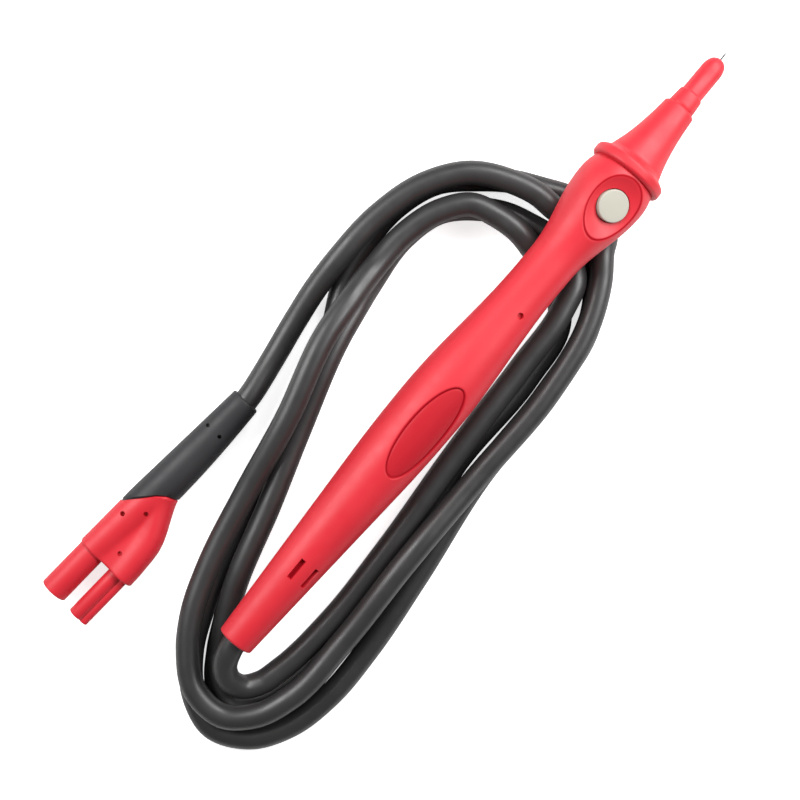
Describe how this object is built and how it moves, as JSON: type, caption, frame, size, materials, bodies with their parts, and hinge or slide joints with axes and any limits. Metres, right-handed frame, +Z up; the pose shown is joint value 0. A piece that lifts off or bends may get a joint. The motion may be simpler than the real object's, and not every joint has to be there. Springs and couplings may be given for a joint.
{
  "type": "insulation test probe",
  "caption": "Hand-held test probe with a needle tip, finger guard and push button, on a loose coiled lead that ends in a shrouded plug with a small keyed plug beside it.",
  "frame": {"origin": "on the handle's axis, where the straight part of the tip sleeve ends and the nose begins", "axes": "+X along the handle towards the needle, +Z up from the surface that the probe lies on"},
  "size_m": [0.2505, 0.0905, 0.0322],
  "materials": {
    "red_plastic": "satin moulded",
    "button_plastic": "satin moulded",
    "lead_rubber": "satin",
    "boot_rubber": "matte",
    "black_plastic": "matte",
    "grey_plastic": "matte",
    "board": "satin",
    "steel": "fine ground",
    "spring_steel": "drawn wire",
    "brass": "turned",
    "gold_plate": "plated",
    "red_wire": "extruded",
    "white_wire": "extruded"
  },
  "bodies": {
    "probe": {"handle_body": "red_plastic", "front_cone": "red_plastic", "tip_sleeve": "red_plastic", "contact_rod": "brass", "contact_needle": "steel", "return_spring": "spring_steel", "switch_case": "black_plastic", "circuit_board": "board", "inner_carrier": "grey_plastic", "hot_wire": "red_wire", "sense_wires": "white_wire", "cord_clamp": "spring_steel", "lead": "lead_rubber", "lead_boot": "boot_rubber", "crimp_ring": "spring_steel", "plug_body": "red_plastic", "shroud_tube": "red_plastic", "plug_pin": "gold_plate", "pin_basket": "gold_plate", "small_tube": "red_plastic", "small_insert": "black_plastic", "small_pin": "gold_plate", "plug_wires": "red_wire"},
    "button": {"button_cap": "button_plastic", "switch_plunger": "black_plastic"}
  },
  "joints": [
    {"name": "button_press", "type": "slide", "parent": "probe", "child": "button", "axis": [0, 0.3746, -0.9272], "range_m": [0, 0.0008], "stiffness_N_per_m": 900, "springref_m": -0.0012, "deforming": ["return_spring"]}
  ]
}
